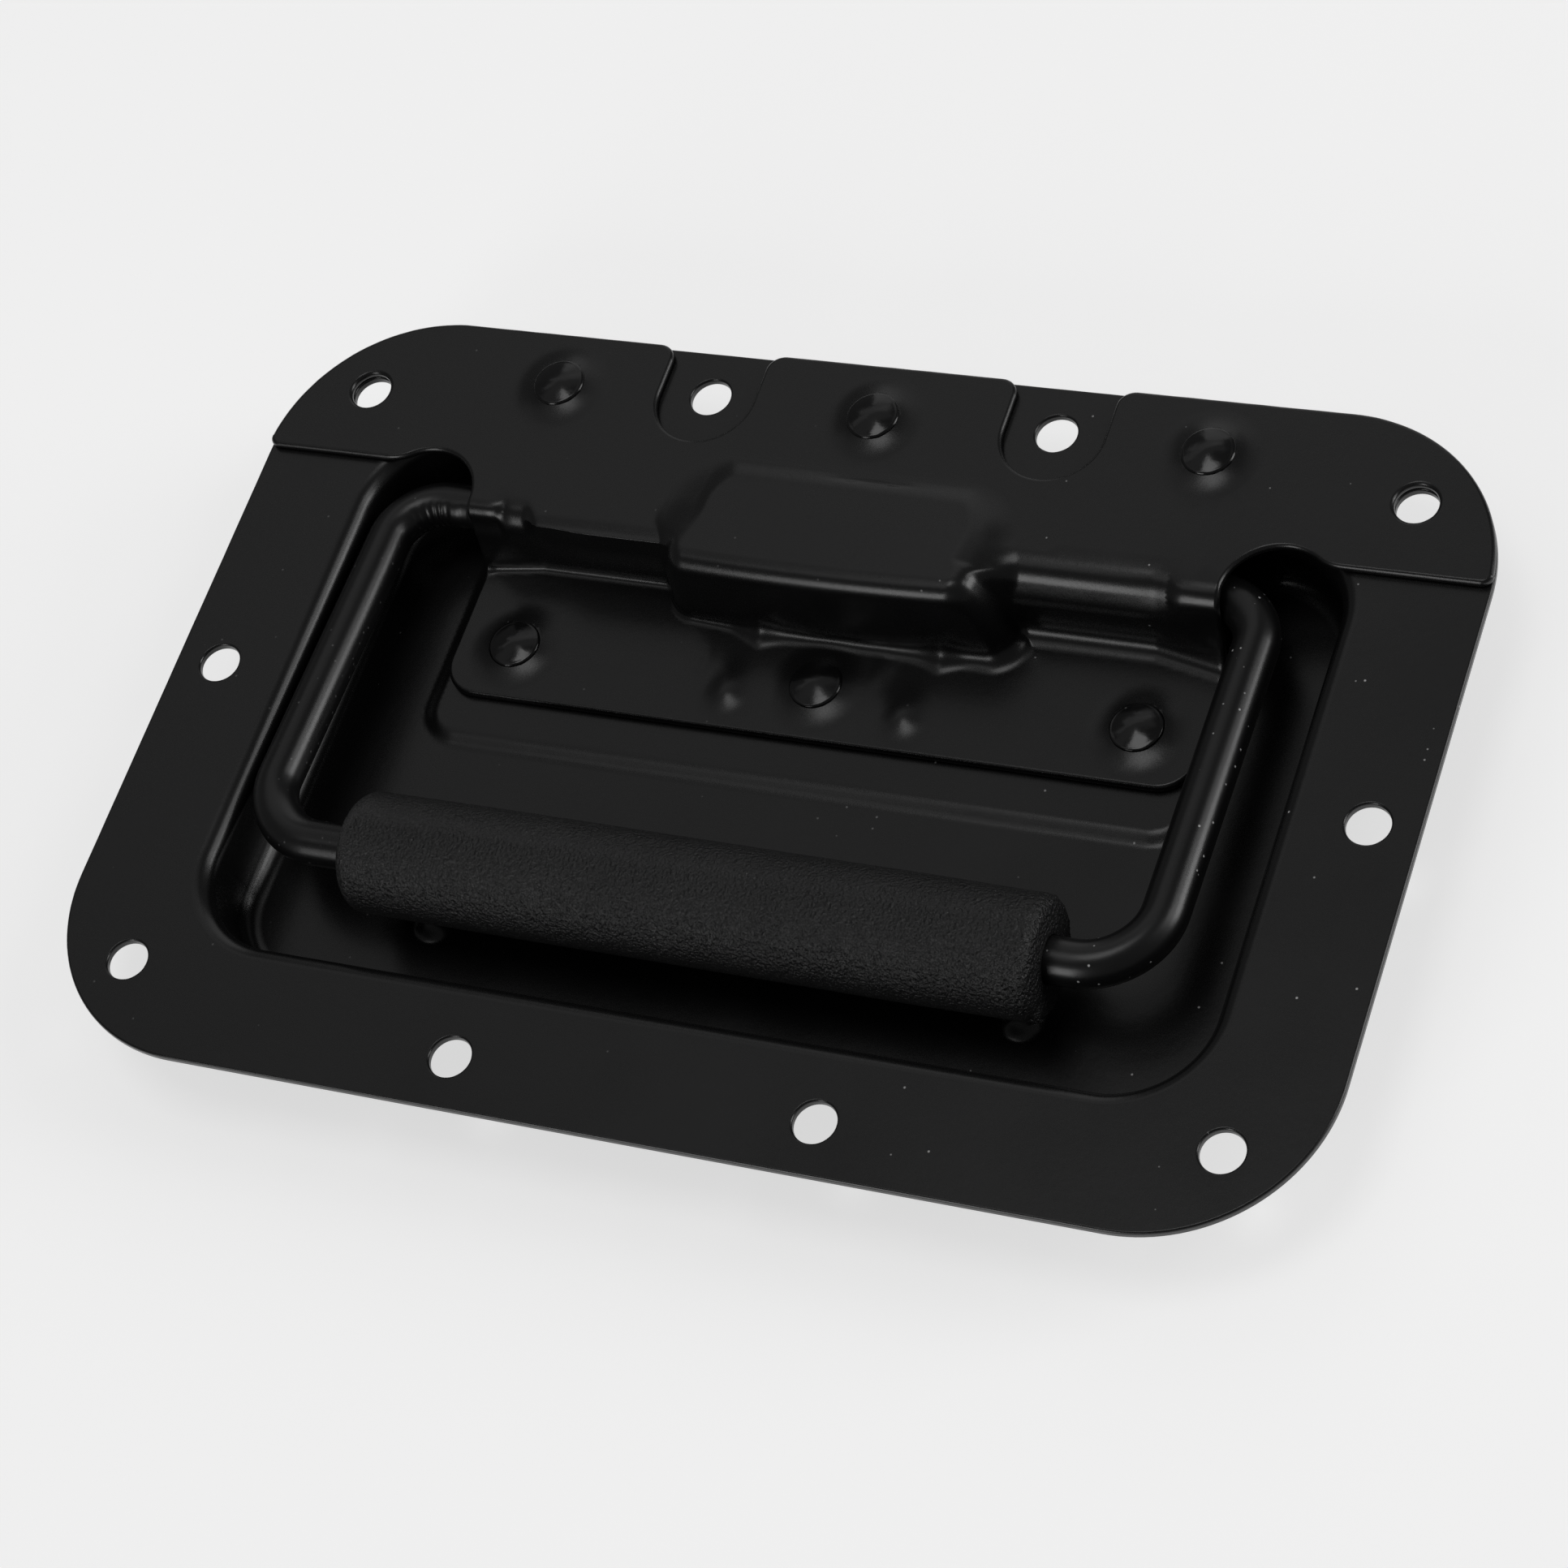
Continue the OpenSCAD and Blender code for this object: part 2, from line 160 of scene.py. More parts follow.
def fill(loops, zones):
    """Triangles between the loops (outer first, then holes). zones is a list of
    (lattice points, spacing, where) with the finest first."""
    taken = []
    pts = []
    for p, h, where in zones:
        ok = where(p)
        for w, _ in taken:
            ok &= ~w(p)
        p = p[ok]
        p = p[inside(p, loops[0])]
        for hole in loops[1:]:
            lo, hi = hole.min(0) - h, hole.max(0) + h
            close = ((p > lo) & (p < hi)).all(1)
            drop = np.zeros(len(p), bool)
            drop[close] = inside(p[close], hole) | near(p[close], hole, 0.55 * h)
            p = p[~drop]
        p = p[~near(p, loops[0], 0.55 * h)]
        taken.append((where, h))
        pts.append(p)
    verts, edges = [], []
    for loop in loops:
        s = len(verts)
        verts += loop.tolist()
        edges += [(s + i, s + (i + 1) % len(loop)) for i in range(len(loop))]
    verts += np.concatenate(pts).tolist()
    out = delaunay_2d_cdt([Vector(v) for v in verts], edges, [], 0, 1e-7, True)
    given = np.array(verts)
    place = np.array([given[o[0]] if o else np.array(v) for v, o in zip(out[0], out[3])])
    faces = np.array([f for f in out[2]], int)
    a, b, c = place[faces[:, 0]], place[faces[:, 1]], place[faces[:, 2]]
    area = (b[:, 0] - a[:, 0]) * (c[:, 1] - a[:, 1]) - (b[:, 1] - a[:, 1]) * (c[:, 0] - a[:, 0])
    flip = area < 0
    faces[flip] = faces[flip][:, ::-1]
    mid = (a + b + c) / 3
    ok = inside(mid, loops[0]) & (np.abs(area) > 1e-9)
    for hole in loops[1:]:
        lo, hi = hole.min(0), hole.max(0)
        close = ok & ((mid > lo) & (mid < hi)).all(1)
        ok[close] &= ~inside(mid[close], hole)
    return place, faces[ok]


def weld(parts, tol=1e-4):
    """Joins (verts, faces, normals) patches whose edges meet."""
    v, f, n, s = [], [], [], 0
    for pv, pf, pn in parts:
        v.append(pv)
        n.append(pn)
        f += [tuple(int(i) + s for i in face) for face in pf]
        s += len(pv)
    v, n = np.concatenate(v), np.concatenate(n)
    key = np.round(v / tol).astype(np.int64)
    _, first, back = np.unique(key, axis=0, return_index=True, return_inverse=True)
    back = back.ravel()
    v, n = v[first], n[first]
    used = []
    for face in f:
        g = [int(back[i]) for i in face]
        g = [a for k, a in enumerate(g) if a != g[k - 1]]
        if len(g) > 2:
            used.append(tuple(g))
    live = np.zeros(len(v), bool)
    live[[i for g in used for i in g]] = True
    renum = np.cumsum(live) - 1
    return v[live], [tuple(int(renum[i]) for i in g) for g in used], n[live]


def rims(faces):
    """The open edges of a surface as closed chains, the surface on their left."""
    seen = set()
    for f in faces:
        for k in range(len(f)):
            seen.add((f[k], f[(k + 1) % len(f)]))
    nxt = {a: b for a, b in seen if (b, a) not in seen}
    chains = []
    while nxt:
        a = next(iter(nxt))
        chain = []
        while a in nxt:
            chain.append(a)
            a = nxt.pop(a)
        chains.append(chain)
    return chains


def thicken(v, faces, n, t=SHEET, edge=0.3, lift=None, steps=3):
    """A closed sheet, t thick, under a surface, its cut edges rounded by edge."""
    verts, normals = [v, v - n * t], [n, -n]
    count = len(v)
    out = [tuple(f) for f in faces] + [tuple(i + count for i in f[::-1]) for f in faces]
    total = 2 * count
    for chain in rims(faces):
        idx = np.array(chain)
        p, m = v[idx], n[idx]
        along = unit(np.roll(p, -1, 0) - np.roll(p, 1, 0))
        side = unit(np.cross(along, m))
        up = lift(p, side) if lift is not None else np.zeros(len(p))
        rings = [idx]
        quarter = np.linspace(0, math.pi / 2, steps + 1)
        for a in quarter[1:]:
            drop = edge * (1 - math.cos(a)) - up * math.sin(2 * a)
            verts.append(p + side * edge * math.sin(a) - m * drop[:, None])
            normals.append(m * math.cos(a) + side * math.sin(a))
        for a in quarter[:-1]:
            verts.append(p + side * edge * math.cos(a) - m * (t - edge + edge * math.sin(a)))
            normals.append(side * math.cos(a) - m * math.sin(a))
        k = len(idx)
        for r in range(2 * steps):
            rings.append(np.arange(total, total + k))
            total += k
        rings.append(idx + count)
        for r0, r1 in zip(rings, rings[1:]):
            for i in range(k):
                j = (i + 1) % k
                out.append((int(r0[j]), int(r0[i]), int(r1[i]), int(r1[j])))
    return np.concatenate(verts), out, np.concatenate(normals)


def densify(loop, step):
    """A loop with no segment much longer than step. step may depend on the place."""
    out = []
    for a, b in zip(loop, np.roll(loop, -1, 0)):
        h = step(a, b) if callable(step) else step
        k = max(1, int(round(np.linalg.norm(b - a) / h)))
        out += [a + (b - a) * i / k for i in range(k)]
    return np.array(out)


def arc(cx, cy, r, a0, a1, step=0.6):
    k = max(2, int(abs(math.radians(a1 - a0)) * r / step))
    a = np.radians(np.linspace(a0, a1, k + 1))
    return [np.array([cx + r * math.cos(t), cy + r * math.sin(t)]) for t in a]


def rrect(w, h, r, step=0.8):
    """(points, outward normals) round a rounded rectangle, counter-clockwise."""
    pts, nor = [], []
    k = max(6, int(math.pi / 2 * r / step))
    for q, (sx, sy) in enumerate([(1, 1), (-1, 1), (-1, -1), (1, -1)]):
        for a in np.radians(np.linspace(90 * q, 90 * q + 90, k + 1)):
            d = np.array([math.cos(a), math.sin(a)])
            pts.append(np.array([sx * (w / 2 - r), sy * (h / 2 - r)]) + r * d)
            nor.append(d)
    return np.array(pts), np.array(nor)


def inset(loop, d):
    """A counter-clockwise loop moved to its left (inwards) by d."""
    along = unit(np.roll(loop, -1, 0) - np.roll(loop, 1, 0))
    left = np.stack([-along[:, 1], along[:, 0]], 1)
    return loop + left * d


def circle(cx, cy, r, n=56):
    a = np.linspace(0, 2 * math.pi, n, endpoint=False)
    return np.stack([cx + r * np.cos(a), cy + r * np.sin(a)], 1)


# rounded joins of two distance fields, below 0 inside
def both(a, b, r):
    return np.minimum(-r, np.maximum(a, b)) + np.hypot(np.maximum(r + a, 0), np.maximum(r + b, 0))


def either(a, b, r):
    return np.maximum(r, np.minimum(a, b)) - np.hypot(np.maximum(r - a, 0), np.maximum(r - b, 0))


def soft_max(a, b, k):
    """The greater of two fields, blended over k."""
    h = np.maximum(k - np.abs(a - b), 0) / k
    return np.maximum(a, b) + h * h * k / 4


def boss(x, y, places):
    """Height of the soft mounds pressed up under the rivets."""
    h = np.zeros_like(x)
    for bx, by in places:
        u = np.clip((np.hypot(x - bx, y - by) - 3.4) / 3.9, 0, 1)
        h = h + 0.7 * (1 - u) ** 2
    return h


EDGE = 0.35
LIP = 0.58

# ---------------------------------------------------------------------------
# Dish
# ---------------------------------------------------------------------------
def floor_height(x, y):
    # distance outwards from the platform's edge
    w, h, r = 53.0, 16.65, 4.0
    qx, qy = np.abs(x) - (w - r), np.abs(y - 17.55) - (h - r)
    d = np.hypot(np.maximum(qx, 0), np.maximum(qy, 0)) + np.minimum(np.maximum(qx, qy), 0) - r
    z = FLOOR_Z + 0.8 * (1 - smooth(d, -0.35, 2.25))
    for s in (-1, 1):
        u = np.clip(np.hypot(x - s * 41.1, y + 27.0) / 3.2, 0, 1)
        z = z + 1.6 * (1 - u * u) ** 2
    z = z + boss(x, y, FLOOR_RIVETS) * (z > FLOOR_Z + 0.7)
    return z


def height_normals(f, x, y, d=0.02):
    gx = (f(x + d, y) - f(x - d, y)) / (2 * d)
    gy = (f(x, y + d) - f(x, y - d)) / (2 * d)
    return unit(np.stack([-gx, -gy, np.ones_like(gx)], 1))


def build_dish(material):
    outer = densify(rrect(*PLATE, 1.0)[0], 3.0)
    base, out = rrect(*RECESS, 0.55)
    # the same points on the straights too
    pts, nor = [], []
    for i in range(len(base)):
        j = (i + 1) % len(base)
        k = max(1, int(round(np.linalg.norm(base[j] - base[i]) / 1.6)))
        for s in range(k):
            pts.append(base[i] + (base[j] - base[i]) * s / k)
            nor.append(out[i] if k > 1 else out[i])
    base, out = np.array(pts), np.array(nor)
    rows = []  # offset, z, normal outwards part, normal up part
    for a in np.linspace(0, math.pi / 2, 13):
        rows.append((2.5 - 2.5 * math.sin(a), -2.5 + 2.5 * math.cos(a), -math.sin(a), math.cos(a)))
    for z in np.linspace(-2.5, FLOOR_Z + 2.5, 7)[1:-1]:
        rows.append((0.0, z, -1.0, 0.0))
    for a in np.linspace(0, math.pi / 2, 13):
        rows.append((-2.5 + 2.5 * math.cos(a), FLOOR_Z + 2.5 - 2.5 * math.sin(a), -math.cos(a), math.sin(a)))
    v, n, f = [], [], []
    k = len(base)
    for o, z, no, nz in rows:
        p = base + out * o
        v.append(np.column_stack([p, np.full(k, z)]))
        n.append(np.column_stack([out * no, np.full(k, nz)]))
    for r in range(len(rows) - 1):
        for i in range(k):
            j = (i + 1) % k
            f.append((r * k + i, r * k + j, (r + 1) * k + j, (r + 1) * k + i))
    wall = (np.concatenate(v), f, np.concatenate(n))

    holes = [circle(x, y, HOLE_R + EDGE) for x, y in SCREWS]
    holes += [circle(x, y, RIVET_HOLE + 0.15, 40) for x, y in FLANGE_RIVETS]
    near_boss = lambda q: np.min([np.hypot(q[:, 0] - x, q[:, 1] - y) for x, y in FLANGE_RIVETS], 0) < 7.2
    near_hole = lambda q: np.min([np.hypot(q[:, 0] - x, q[:, 1] - y) for x, y in SCREWS], 0) < 4.6
    any_place = lambda q: np.ones(len(q), bool)
    flat, ff = fill(
        [inset(outer, EDGE), (base + out * 2.5)] + holes,
        [(lattice(-55, 55, 40, 57, 0.6), 0.6, near_boss),
         (lattice(-86, 86, -57, 57, 0.75), 0.75, near_hole),
         (lattice(-86, 86, -57, 57, 3.0), 3.0, any_place)])
    z = boss(flat[:, 0], flat[:, 1], FLANGE_RIVETS)
    top = (np.column_stack([flat, z]), ff, height_normals(lambda x, y: boss(x, y, FLANGE_RIVETS), flat[:, 0], flat[:, 1]))

    def step_band(q):
        qx, qy = np.abs(q[:, 0]) - 49.0, np.abs(q[:, 1] - 17.55) - 12.65
        d = np.hypot(np.maximum(qx, 0), np.maximum(qy, 0)) + np.minimum(np.maximum(qx, qy), 0) - 4
        return (d > -0.9) & (d < 4.8)
    near_bump = lambda q: np.min([np.hypot(q[:, 0] - s * 41.1, q[:, 1] + 27.7) for s in (-1, 1)], 0) < 4.2
    near_foot = lambda q: np.min([np.hypot(q[:, 0] - x, q[:, 1] - y) for x, y in FLOOR_RIVETS], 0) < 7.2
    holes = [circle(x, y, RIVET_HOLE + 0.15, 40) for x, y in FLOOR_RIVETS]
    pan, pf = fill(
        [base - out * 2.5] + holes,
        [(lattice(-46, 46, -33, -22, 0.36), 0.36, near_bump),
         (lattice(-59, 59, -5, 39, 0.55), 0.55, step_band),
         (lattice(-53, 53, 6, 23, 0.6), 0.6, near_foot),
         (lattice(-66, 66, -37, 37, 2.4), 2.4, any_place)])
    z = floor_height(pan[:, 0], pan[:, 1])
    bottom = (np.column_stack([pan, z]), pf, height_normals(floor_height, pan[:, 0], pan[:, 1]))
    v, f, n = weld([top, wall, bottom])

    def lift(p, side):
        # paint stands up a little on the rims of the screw holes, unevenly
        return 0.05 + 0.05 * wobble(p, 1.3, 4.2)
    v, f, n = thicken(v, f, n, edge=EDGE, lift=lift)
    return make("dish_pressing", v, f, n, material)


# ---------------------------------------------------------------------------
# Hinge cover
# ---------------------------------------------------------------------------
def along(x, table):
    """Value at x from (place, value) pairs, eased between them."""
    out = np.full(np.shape(x), float(table[0][1]))
    for (a, u), (b, v) in zip(table, table[1:]):
        out = out + (v - u) * smooth(x, a, b)
    return out


WALL_TOP = [(-49.0, 27.5), (-47.4, 26.8), (-44.8, 26.8), (-41.0, 26.55), (-34.0, 26.3),
            (-20.0, 26.3), (20.0, 27.3), (44.0, 27.3), (48.0, 27.0)]
BEND_R = [(-49.0, 2.0), (-47.4, 3.7), (-44.8, 3.7), (-41.0, 1.8), (18.0, 4.4), (43.8, 4.4), (48.5, 3.4)]
FILLET = [(-52.8, 1.5), (-51.4, 1.0), (-43.0, 0.9), (-40.0, 0.9), (-22.0, 0.9), (-15.0, 0.9), (-12.0, 1.4),
          (18.0, 1.5), (24.0, 2.5)]


def wall_place(x, z):
    """Y of the cover's front wall: its foot comes forward at both ends."""
    foot = 26.8 - 0.2 * smooth(x, -20, 20)
    top = along(x, WALL_TOP)
    late, soon = smooth(z, -4.4, -1.0), smooth(z, -8.5, -2.5)
    up = late + (soon - late) * smooth(x, -46.0, -41.0) * (1 - smooth(x, -4.0, 4.0))
    lean = 1.15 * np.clip((-x - 44.6) / 8.4, 0, 1) + 1.8 * np.clip((x - 43.4) / 9.2, 0, 1)
    return foot + (top - foot) * up - lean * (1 - smooth(z, -9.5, -4.0))


def foot_height(x, y):
    z = FOOT_Z + boss(x, y, FLOOR_RIVETS)
    for mx, my in ((-12.2, 11.6), (13.0, 11.4)):
        reach = np.where(y > my, 3.6, 2.3)
        z = z + 0.68 * bell(x - mx, 2.3) * bell(y - my, reach)
    # strained metal beside the box: shallow folds
    z = z + 0.08 * bell(x + 16.6, 0.9) * bell(y - 15.6, 3.0)
    z = z + 0.10 * bell(x - 7.4, 1.0) * bell(y - 17.0, 2.6)
    z = z - 0.10 * bell(x - 9.6, 1.2) * bell(y - 16.4, 2.4)
    return z


def cover_field(x, y, z):
    # flat top and front wall, which is dented near both its ends
    crease = lambda t, w: np.exp(-(np.sqrt(t * t + 0.01) - 0.1) / w)
    dent = 0.34 * crease(x - 46.3, 1.9) * bell(y - 28.0, 2.6) * bell(z - 0.2, 2.4)
    dent = dent + 0.20 * bell(x + 48.2, 1.0) * bell(y - 27.8, 2.8) * bell(z - 0.4, 2.4)
    flat = z - (SHEET + boss(x, y, FLANGE_RIVETS))
    front = wall_place(x, z) - y
    body = both(flat, front, along(x, BEND_R)) + dent
    # between the left end and the box the bend is a soft slope over a crisp corner
    crisp = both(soft_max(flat, 0.45 * (26.3 - y) + 0.89 * (z - 0.66), 0.5), front, 0.06)
    at = smooth(x, -45.0, -41.6) * (1 - smooth(x, -22.0, -20.0))
    body = body + at * (crisp - body)
    # the box: bowed front, two leaning sides, one roof that falls gently to the rear
    bow = 21.35 + 0.5 * ((x - 3.0) / 20.0) ** 2 + 0.03 * (z - FOOT_Z)
    bf = bow - y
    left = (-x - (24.7 - 0.14 * (z - FOOT_Z))) * 0.99
    right = (x - (24.9 - 0.10 * (z - FOOT_Z))) * 0.995
    side = np.maximum(left, right) - 4.0 * smooth(y, 26.0, 30.0)
    roof = (z - 1.80 - (0.086 + 0.0012 * x) * (38.2 - y)) * 0.995
    # rear and side edges of the roof's panel: soft, steeper near the front,
    # where the right corner is knocked in
    qx, qy = np.abs(x) - 16.6, y - 32.6
    rim = np.hypot(np.maximum(qx, 0), np.maximum(qy, 0)) - 6.8
    fore = 1 - np.where(x > 0, smooth(y, 25.4, 28.2), smooth(y, 25.2, 32.5))
    out = smooth(np.abs(x), 16.0, 20.0)
    slope = 0.52 + out * np.where(x > 0, 0.86 * fore, -0.18 + 0.5 * fore)
    ramp = (z - 1.15 + slope * (rim + np.where(x > 0, 1.2, 0.0) * fore * out)) / np.sqrt(1 + slope * slope)
    ramp = ramp + 0.45 * bell(x - 3.0, 4.0) * bell(y - 38.9, 0.42)
    upper = soft_max(roof, ramp, 0.6 + 1.0 * out)
    plan = both(bf, side, 4.0 - smooth(x, -5, 5))
    box = both(plan, upper, 3.0)
    back = smooth(y, 29.0, 33.5)
    body = (1 - back) * either(body, box, 1.3) - back * soft_max(-body, -box, 0.7)
    # foot
    foot = z - foot_height(x, y)
    cusp = lambda c, w: 1.0 / (1.0 + (np.sqrt((x - c) ** 2 + 0.15) / w) ** 1.6)
    rf = along(x, FILLET) + 1.9 * cusp(-10.2, 2.2) + 2.1 * cusp(15.6, 2.6)
    return either(foot, body, rf)


def on_cover(p):
    """Points and normals of the cover's outer face at (x, y + z)."""
    x, q = p[:, 0], p[:, 1]
    lo, hi = np.full(len(p), -11.6), np.full(len(p), 5.6)
    for _ in range(34):
        mid = (lo + hi) / 2
        out = cover_field(x, q - mid, mid) > 0
        hi = np.where(out, mid, hi)
        lo = np.where(out, lo, mid)
    z = (lo + hi) / 2
    v = np.column_stack([x, q - z, z])
    d = 0.02
    g = [cover_field(v[:, 0] + a, v[:, 1] + b, v[:, 2] + c) - cover_field(v[:, 0] - a, v[:, 1] - b, v[:, 2] - c)
         for a, b, c in ((d, 0, 0), (0, d, 0), (0, 0, d))]
    return v, unit(np.stack(g, 1))


def cover_loop():
    """The cover's outline at (x, y + z), counter-clockwise, with small tip radii."""
    r, c = 23.4, (63.2, 33.9)
    up, down = SHEET, FOOT_Z
    half = [np.array([0.0, 6.3 + down])]
    half += [p + (0, down) for p in arc(48.2, 11.3, 5.0, -90, 0, 0.5)]
    half += [np.array([53.2, 29.3 + up])]
    half += [p + (0, up) for p in arc(60.4, 29.3, 7.2, 180, 58.57, 0.5)][1:]
    half += [p + (0, up) for p in arc(67.793, 41.4, 7.0, 238.57, 270, 0.5)][1:]
    half += [p + (0, up) for p in arc(85.15, 35.85, 1.45, -90, -2, 0.3)]
    half += [p + (0, up) for p in arc(c[0], c[1], r, 5.0, 90, 1.0)]
    half += [p + (0, up) for p in arc(34.3, 54.8, 2.5, 90, 180, 0.4)]
    half += [p + (0, up) for p in arc(24.9, 49.4, 6.9, 0, -180, 0.6)]
    half += [p + (0, up) for p in arc(15.5, 54.8, 2.5, 0, 90, 0.4)]
    half += [np.array([0.0, 57.3 + up])]
    half = np.array(half)
    other = half[1:-1][::-1] * (-1, 1)
    return np.concatenate([half, other])


def build_cover(material):
    step = lambda a, b: 0.55 if max(a[1], b[1]) < 32 and min(abs(a[0]), abs(b[0])) < 54 else 2.5
    outer = inset(densify(cover_loop(), step), LIP)
    up, down = SHEET, FOOT_Z
    holes = [circle(x, y + up, HOLE_R + LIP) for x, y in SCREWS if y > 30 and abs(x) > 60]
    # holes on the bosses are given where the boss's top is
    holes += [circle(x, y + up + 0.7, RIVET_HOLE + 0.15, 40) for x, y in FLANGE_RIVETS]
    holes += [circle(x, y + down + 0.7, RIVET_HOLE + 0.15, 40) for x, y in FLOOR_RIVETS]
    centre = lambda q: (np.abs(q[:, 0]) < 29.5) & (q[:, 1] > 5.2) & (q[:, 1] < 42.0)
    front = lambda q: (np.abs(q[:, 0]) < 53.2) & (q[:, 1] < 31.5)
    bosses = [(x, y + up + 0.4) for x, y in FLANGE_RIVETS]
    near_boss = lambda q: np.min([np.hypot(q[:, 0] - x, q[:, 1] - y) for x, y in bosses], 0) < 7.6
    near_hole = lambda q: np.min([np.hypot(q[:, 0] - x, q[:, 1] - y - up) for x, y in SCREWS[:4]], 0) < 4.6
    any_place = lambda q: np.ones(len(q), bool)
    corner = lambda q: (((np.abs(q[:, 0] + 32.5) < 12.5) & (np.abs(q[:, 1] - 26.96) < 0.7))
                        | ((np.abs(q[:, 0] + 47.6) < 2.8) & (np.abs(q[:, 1] - 27.2) < 2.2)))
    p, f = fill(
        [outer] + holes,
        [(lattice(-50.6, -19.8, 24.9, 29.5, 0.18), 0.18, corner),
         (lattice(-29.5, 29.5, 5.2, 42.0, 0.42), 0.42, centre),
         (lattice(-53, 53, -4, 31.5, 0.56), 0.56, front),
         (lattice(-55, 55, 42, 59, 0.6), 0.6, near_boss),
         (lattice(-80, 80, 40, 52, 0.75), 0.75, near_hole),
         (lattice(-87, 87, 30, 59, 2.5), 2.5, any_place)])
    v, n = on_cover(p)
    v, f, n = thicken(v, [tuple(t) for t in f], n, edge=LIP, steps=4,
                      lift=lambda p, side: 0.06 + 0.05 * wobble(p, 1.6, 9.1))
    return make("hinge_cover_pressing", v, f, n, material)


# ---------------------------------------------------------------------------
# Round pieces
# ---------------------------------------------------------------------------
def sweep(path, radii, sides, up=None, caps=True, shape=None):
    """A tube through path. up keeps one side of the rings in place."""
    path = np.asarray(path, float)
    way = unit(np.gradient(path, axis=0))
    side = unit(np.cross(way, up)) if up is not None else None
    if side is None:
        first = unit(np.cross(way[0], (0.3, 0.5, 0.81)))
        frames = [first]
        for i in range(1, len(path)):
            s = frames[-1] - way[i] * (frames[-1] @ way[i])
            frames.append(s / np.linalg.norm(s))
        side = np.array(frames)
    third = np.cross(way, side)
    a = np.linspace(0, 2 * math.pi, sides, endpoint=False)
    ring = side[:, None] * np.cos(a)[None, :, None] + third[:, None] * np.sin(a)[None, :, None]
    r = np.broadcast_to(np.asarray(radii, float)[:, None], (len(path), sides)).copy()
    if shape is not None:
        r = r * shape(path, ring, a)
    v = (path[:, None] + ring * r[:, :, None]).reshape(-1, 3)
    f = []
    for i in range(len(path) - 1):
        for k in range(sides):
            j = (k + 1) % sides
            f.append((i * sides + k, i * sides + j, (i + 1) * sides + j, (i + 1) * sides + k))
    if caps:
        f.append(tuple(range(sides))[::-1])
        f.append(tuple((len(path) - 1) * sides + k for k in range(sides)))
    return v, f


def lathe(profile, sides):
    """A closed ring surface from (radius, height) points about +Z."""
    v, f = [], []
    a = np.linspace(0, 2 * math.pi, sides, endpoint=False)
    rows = []
    for r, z in profile:
        if r < 1e-6:
            rows.append([len(v)])
            v.append((0, 0, z))
        else:
            rows.append(list(range(len(v), len(v) + sides)))
            v += [(r * math.cos(t), r * math.sin(t), z) for t in a]
    for r0, r1 in zip(rows, rows[1:]):
        for k in range(sides):
            j = (k + 1) % sides
            if len(r0) == 1:
                f.append((r0[0], r1[k], r1[j]))
            elif len(r1) == 1:
                f.append((r0[k], r1[0], r0[j]))
            else:
                f.append((r0[k], r1[k], r1[j], r0[j]))
    return np.array(v, float), f


def build_rivet(name, x, y, z, seed, material):
    """One rivet: crisp rim, low dome, shank through both sheets, formed tail."""
    rows = [(0.0, 0.96)]
    for r in np.linspace(0.3, 3.15, 18):
        rows.append((r, 0.38 + 0.58 * (1 - (r / 3.2) ** 1.7)))
    rows += [(3.25, 0.375), (3.36, 0.345), (3.46, 0.295), (3.54, 0.225), (3.585, 0.15), (3.6, 0.08), (3.58, 0.03), (3.5, 0.0)]
    rows += [(2.1, 0.0), (2.0, -0.05), (2.0, -2.3), (2.06, -2.36), (2.9, -2.36), (2.98, -2.42), (3.0, -2.55),
             (2.97, -2.85), (2.85, -2.96), (2.2, -3.0), (1.2, -2.9), (0.0, -2.86)]
    v, f = lathe(rows, 96)
    head = (v[:, 2] > 0.3) & (np.hypot(v[:, 0], v[:, 1]) < 3.3)
    p = v + (seed * 11.3, 0, 0)
    # the paint on the head lies unevenly
    v[head, 2] += 0.012 * wobble(p[head], 1.1, seed) + 0.05 * wobble(p[head], 3.1, seed + 5)
    rim = (v[:, 2] > -0.01) & (np.hypot(v[:, 0], v[:, 1]) > 3.3)
    v[rim, :2] *= (1 + 0.010 * wobble(p[rim], 2.2, seed + 2))[:, None]
    f = [t[::-1] for t in f]
    return make(name, v + (x, y, z), f, None, material, smooth_angle=50)


PIVOT = np.array([-3.5, 31.3, -4.1])
TILT = math.radians(2.4)
LEG = 54.7
HALF = 61.8


def from_bail(v):
    """Bail frame (hinge's axis, legs along -Y) to the plate frame at rest."""
    v = np.asarray(v, float)
    c, s = math.cos(-TILT), math.sin(-TILT)
    return np.column_stack([v[:, 0], v[:, 1] * c - v[:, 2] * s, v[:, 1] * s + v[:, 2] * c]) + PIVOT


